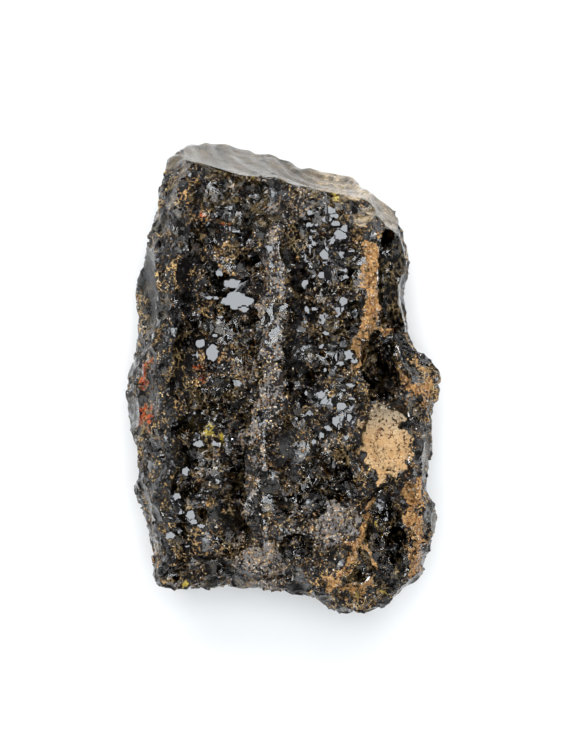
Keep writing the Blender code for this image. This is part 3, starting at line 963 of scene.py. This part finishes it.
    crust_roughness = mixed(tree, ramp(tree, grit, 0.40, 0.60), 0.18, 0.55)
    resin_roughness = mixed(tree, ramp(tree, cloud, 0.50, 0.65), 0.04, 0.16)
    relief = sum_of(tree, grit, times(tree, fibres, 0.5), times(tree, away, -0.6))
    relief = times(tree, relief, mixed(tree, film, 0.10, 1.0))
    relief = times(tree, relief, all_but(tree, times(tree, mirror, 0.95)))
    bump = add(tree, "ShaderNodeBump", {"Height": relief, "Strength": 0.9, "Distance": 0.34 * MM})

    shader.inputs["IOR"].default_value = AMBER_IOR
    tree.links.new(colour, shader.inputs["Base Color"])
    tree.links.new(mixed(tree, cover, resin_roughness, crust_roughness), shader.inputs["Roughness"])
    gloss = mixed(tree, larger(tree, cover, glow), RESIN_GLOSS, CRUST_GLOSS)
    tree.links.new(gloss, shader.inputs["Specular IOR Level"])
    tree.links.new(clear, shader.inputs["Transmission Weight"])
    tree.links.new(bump.outputs["Normal"], shader.inputs["Normal"])
    depths = add(tree, "ShaderNodeVolumeAbsorption", {"Color": AMBER_ABSORBED, "Density": AMBER_DENSITY})
    tree.links.new(depths.outputs["Volume"], tree.nodes["Material Output"].inputs["Volume"])
    return material


def finished(name, mesh, material):
    """A piece at the origin with this mesh and finish, moving with the lump."""
    piece = bpy.data.objects.new(name, mesh)
    bpy.context.scene.collection.objects.link(piece)
    mesh.materials.clear()
    mesh.materials.append(material)
    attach(piece, "root")
    return piece


def amber_stone():
    mesh, bark, fresh = shaped_body()
    mesh, shares = thinned(mesh, bark, {"fresh": fresh, "edges": bulge(mesh)})
    masks = stone_masks(read_points(mesh), read_normals(mesh), shares["fresh"], shares["edges"])
    for name, share in masks.items():
        layer = mesh.attributes.new(name, "FLOAT", "POINT")
        layer.data.foreach_set("value", share.astype(np.float32))
    write_points(mesh, read_points(mesh) * MM)
    mesh.shade_smooth()
    mesh.set_sharp_from_angle(angle=math.radians(35))
    corners = np.array([polygon.vertices[:] for polygon in mesh.polygons])
    mesh.polygons.foreach_set("use_smooth", masks["mirror"][corners].min(axis=1) < 0.5)
    stone = finished("amber_stone", mesh, stone_material())
    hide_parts("rough_amber")
    return stone


stone = amber_stone()


# Loose crumbs of bark, clay and sand, and short bits of fibre, that stuck to the resin while it was soft.
# They lie thickest on the dusty ridges and the clay, and along the rims of the chips.

GRAINS_TO_A_SQUARE_MILLIMETRE = 2.6
GRAIN_SIZES = (0.06, 0.17)
GRAIN_SEED = 5

# The least and the most of a grain's half sizes, as shares of its size, and of its turns
GRAIN_SHAPES = ((0.5, 0.4, 0.4), (2.2, 0.8, 0.7))
GRAIN_SHAPE_SEED = 1
GRAIN_TURNS = ((0.0, 0.0, 0.0), (6.28, 6.28, 6.28))
GRAIN_TURN_SEED = 2

# Bark brown, clay tan and pale sand
GRAIN_COLOURS = ((0.08, 0.045, 0.025, 1.0), (0.40, 0.24, 0.11, 1.0), (0.62, 0.52, 0.40, 1.0))


def grain_scatter(material):
    """The tree that scatters few-sided grains over a mesh, as thickly as its grains attribute asks."""
    tree = bpy.data.node_groups.new("crust grains", "GeometryNodeTree")
    face = tree.interface
    face.new_socket("Geometry", in_out="INPUT", socket_type="NodeSocketGeometry")
    face.new_socket("Grains to a Square Metre", in_out="INPUT", socket_type="NodeSocketFloat")
    face.new_socket("Smallest Grain", in_out="INPUT", socket_type="NodeSocketFloat")
    face.new_socket("Largest Grain", in_out="INPUT", socket_type="NodeSocketFloat")
    face.new_socket("Seed", in_out="INPUT", socket_type="NodeSocketInt")
    face.new_socket("Geometry", in_out="OUTPUT", socket_type="NodeSocketGeometry")
    start = add(tree, "NodeGroupInput")
    share = add(tree, "GeometryNodeInputNamedAttribute", {"Name": "grains"}, data_type="FLOAT")
    density = times(tree, start.outputs["Grains to a Square Metre"], share.outputs["Attribute"])
    inputs = {"Mesh": start.outputs["Geometry"], "Density": density, "Seed": start.outputs["Seed"]}
    spread = add(tree, "GeometryNodeDistributePointsOnFaces", inputs)
    grain = add(tree, "GeometryNodeMeshIcoSphere", {"Radius": 1.0, "Subdivisions": 1})
    inputs = {2: start.outputs["Smallest Grain"], 3: start.outputs["Largest Grain"], "Seed": GRAIN_SEED}
    size = add(tree, "FunctionNodeRandomValue", inputs, data_type="FLOAT")
    inputs = {0: GRAIN_SHAPES[0], 1: GRAIN_SHAPES[1], "Seed": GRAIN_SHAPE_SEED}
    stretch = add(tree, "FunctionNodeRandomValue", inputs, data_type="FLOAT_VECTOR")
    inputs = {0: GRAIN_TURNS[0], 1: GRAIN_TURNS[1], "Seed": GRAIN_TURN_SEED}
    turn = add(tree, "FunctionNodeRandomValue", inputs, data_type="FLOAT_VECTOR")
    inputs = {0: stretch.outputs[0], "Scale": size.outputs[1]}
    scale = add(tree, "ShaderNodeVectorMath", inputs, operation="SCALE")
    placed = add(
        tree,
        "GeometryNodeInstanceOnPoints",
        {
            "Points": spread.outputs["Points"],
            "Instance": grain.outputs["Mesh"],
            "Rotation": turn.outputs[0],
            "Scale": scale.outputs["Vector"],
        },
    )
    real = add(tree, "GeometryNodeRealizeInstances", {"Geometry": placed.outputs["Instances"]})
    inputs = {"Geometry": real.outputs["Geometry"], "Material": material}
    painted = add(tree, "GeometryNodeSetMaterial", inputs)
    add(tree, "NodeGroupOutput", {"Geometry": painted.outputs["Geometry"]})
    return tree


def grain_material():
    """Each grain is bark brown, clay tan or pale sand."""
    material = bpy.data.materials.new("crust grains")
    material.use_nodes = True
    tree = material.node_tree
    shader = tree.nodes["Principled BSDF"]
    place = in_millimetres(tree)
    chance, tint, away = crumbs(tree, place, 0.6)
    dark, middling, pale = GRAIN_COLOURS
    colour = paint(tree, ramp(tree, chance, 0.20, 0.35), dark, middling)
    colour = paint(tree, ramp(tree, chance, 0.66, 0.80), colour, pale)
    tree.links.new(colour, shader.inputs["Base Color"])
    tree.links.new(mixed(tree, noise(tree, place, 0.2), 0.35, 0.75), shader.inputs["Roughness"])
    shader.inputs["IOR"].default_value = AMBER_IOR
    return material


def crust_grains():
    material = grain_material()
    tree = grain_scatter(material)
    bed = bpy.data.objects.new("grain bed", stone.data.copy())
    bpy.context.scene.collection.objects.link(bed)
    modifier = bed.modifiers.new("grains", "NODES")
    modifier.node_group = tree
    values = {
        "Grains to a Square Metre": GRAINS_TO_A_SQUARE_MILLIMETRE / MM**2,
        "Smallest Grain": GRAIN_SIZES[0] * MM,
        "Largest Grain": GRAIN_SIZES[1] * MM,
        "Seed": GRAIN_SEED,
    }
    for socket in tree.interface.items_tree:
        if socket.in_out == "INPUT" and socket.name in values:
            modifier[socket.identifier] = values[socket.name]
    graph = bpy.context.evaluated_depsgraph_get()
    mesh = bpy.data.meshes.new_from_object(bed.evaluated_get(graph))
    bpy.data.objects.remove(bed)
    grains = finished("crust_grains", mesh, material)
    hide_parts("rough_amber")


crust_grains()


# The table: a plain white board that runs on past the picture's edges.

FLOOR_SIZE = 3.0
FLOOR_WHITE = (0.87, 0.87, 0.87, 1.0)


def white_table():
    mesh = bpy.data.meshes.new("white_table")
    work = bmesh.new()
    bmesh.ops.create_grid(work, x_segments=1, y_segments=1, size=FLOOR_SIZE / 2)
    work.to_mesh(mesh)
    work.free()
    table = bpy.data.objects.new("white_table", mesh)
    bpy.context.scene.collection.objects.link(table)
    material = bpy.data.materials.new("white board")
    material.use_nodes = True
    shader = material.node_tree.nodes["Principled BSDF"]
    shader.inputs["Base Color"].default_value = FLOOR_WHITE
    shader.inputs["Roughness"].default_value = 0.9
    shader.inputs["Specular IOR Level"].default_value = 0.0
    mesh.materials.append(material)


white_table()


# The studio: a small softbox straight above, whose mirror image shows in the flat chips, and large soft
# ones behind, in front and at both sides that whiten the table. Each has its place, what it faces, its
# side, its brightness and its tint.

LIGHTS = {
    "overhead softbox": ((0.0, 0.02, 0.75), (0.0, 0.0, 0.02), 0.36, 10.0, (0.90, 0.95, 1.0)),
    "back softbox": ((0.0, 0.75, 0.75), (0.0, 0.0, 0.0), 0.9, 3.6, (1.0, 1.0, 1.0)),
    "left softbox": ((-0.95, 0.1, 0.6), (0.0, 0.0, 0.0), 0.8, 1.7, (1.0, 1.0, 1.0)),
    "right softbox": ((0.95, 0.1, 0.6), (0.0, 0.0, 0.0), 0.8, 1.3, (1.0, 1.0, 1.0)),
    "front softbox": ((0.0, -0.85, 0.7), (0.0, 0.0, 0.0), 0.8, 1.2, (1.0, 1.0, 1.0)),
}
WORLD_GREY = 0.17


def aim(thing, place, target):
    thing.location = place
    thing.rotation_euler = (Vector(target) - Vector(place)).to_track_quat("-Z", "Y").to_euler()


def softboxes():
    """Square lamps and the grey of the room around them."""
    for name, (place, target, side, brightness, tint) in LIGHTS.items():
        lamp = bpy.data.lights.new(name, "AREA")
        lamp.size = side
        lamp.energy = brightness * math.pi * side**2
        lamp.color = tint
        thing = bpy.data.objects.new(name, lamp)
        bpy.context.scene.collection.objects.link(thing)
        aim(thing, place, target)
    world = bpy.data.worlds.new("studio")
    world.use_nodes = True
    world.node_tree.nodes["Background"].inputs["Color"].default_value = (1.0, 1.0, 1.0, 1.0)
    world.node_tree.nodes["Background"].inputs["Strength"].default_value = WORLD_GREY
    bpy.context.scene.world = world


softboxes()


# The camera looks straight down, as the photograph was taken.

CAMERA_PLACE = (-0.0001, -0.0004, 0.372)
CAMERA_LENS = 100.0
CAMERA_SENSOR = 36.0


def overhead_camera():
    camera = bpy.data.objects.new("overhead camera", bpy.data.cameras.new("overhead camera"))
    bpy.context.scene.collection.objects.link(camera)
    camera.data.lens = CAMERA_LENS
    camera.data.sensor_width = CAMERA_SENSOR
    camera.location = CAMERA_PLACE
    bpy.context.scene.camera = camera
    bpy.context.scene.view_settings.view_transform = "Standard"


overhead_camera()
